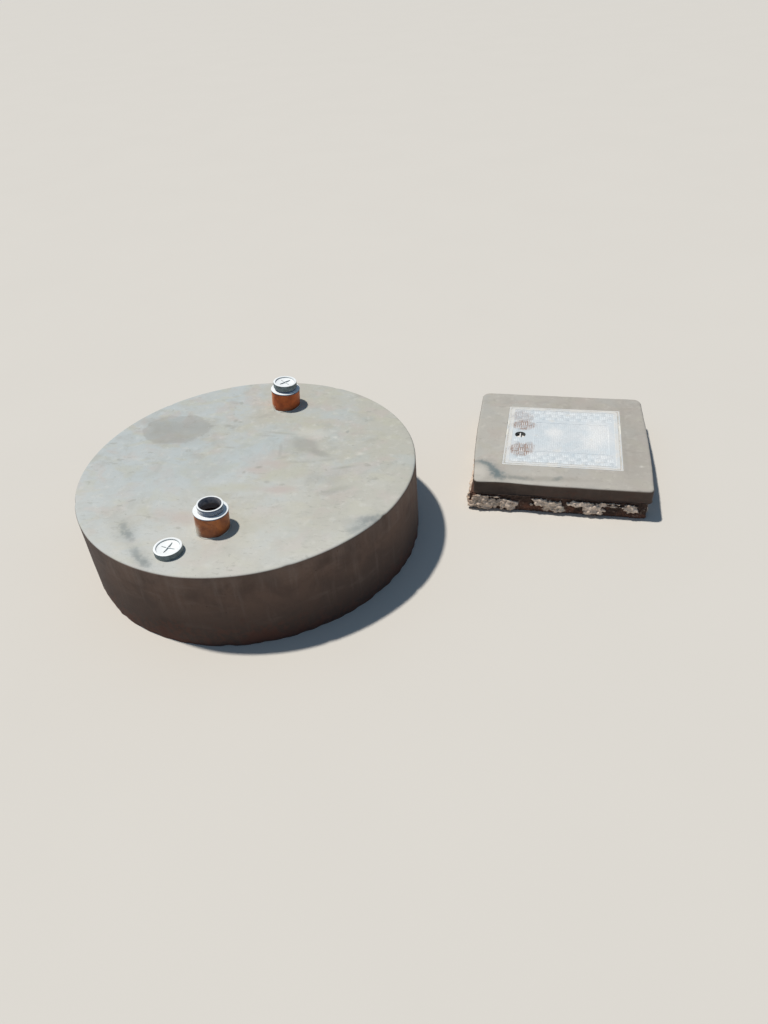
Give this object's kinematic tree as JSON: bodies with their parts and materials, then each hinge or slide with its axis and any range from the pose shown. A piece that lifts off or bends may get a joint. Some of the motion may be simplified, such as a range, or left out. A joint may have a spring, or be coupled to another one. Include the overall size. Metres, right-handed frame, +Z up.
{
  "type": "biogas digester",
  "caption": "Small buried digester: round plastered tank with a concrete cover slab and capped feed pipes, beside a square access chamber with a steel manhole cover.",
  "frame": {"origin": "on the ground at the centre of the whole footprint, which spans the tank and the access chamber", "axes": "+Z up; +X from the tank towards the chamber, along the chamber's front; +Y from the near feed pipe to the far one"},
  "size_m": [2.0448, 1.4968, 0.408],
  "materials": {
    "slab_concrete": "pale warm grey trowelled cement, softly mottled, with a damp patch",
    "wall_plaster": "brown-grey smooth cement plaster, soil-stained at the foot",
    "rough_mortar": "pale rough mortar, ragged, dusted with red soil",
    "collar_concrete": "smooth warm grey cement with darker blotches near one corner",
    "orange_upvc": "orange-brown pipe plastic, dulled and smeared with cement at the foot",
    "grey_upvc": "light grey moulded plastic, slightly dusty",
    "galvanised_steel": "bluish white galvanised steel, finely chequered, with rusty soil in the grooves"
  },
  "bodies": {
    "plant": {"cover_slab": "slab_concrete", "tank_wall_1": "wall_plaster", "tank_wall_2": "wall_plaster", "tank_wall_3": "wall_plaster", "tank_wall_4": "wall_plaster", "tank_wall_5": "wall_plaster", "tank_wall_6": "wall_plaster", "tank_wall_7": "wall_plaster", "tank_wall_8": "wall_plaster", "near_feed_pipe": "orange_upvc", "far_feed_pipe": "orange_upvc", "near_access_fitting": "grey_upvc", "far_access_fitting": "grey_upvc", "loose_screw_cap": "grey_upvc", "chamber_wall_front": "wall_plaster", "chamber_wall_back": "wall_plaster", "chamber_wall_left": "wall_plaster", "chamber_wall_right": "wall_plaster", "mortar_foot_front": "rough_mortar", "mortar_foot_back": "rough_mortar", "mortar_foot_left": "rough_mortar", "mortar_foot_right": "rough_mortar", "chamber_collar": "collar_concrete", "manhole_frame": "galvanised_steel"},
    "cover": {"manhole_cover": "galvanised_steel", "lifting_bar": "galvanised_steel"},
    "cap": {"far_screw_cap": "grey_upvc"}
  },
  "joints": [
    {"name": "cover_lift", "type": "slide", "parent": "plant", "child": "cover", "axis": [0, 0, 1], "range_m": [0, 0.2]},
    {"name": "cap_lift", "type": "slide", "parent": "plant", "child": "cap", "axis": [0.0812, 0.0202, 0.9965], "range_m": [0, 0.12]}
  ]
}
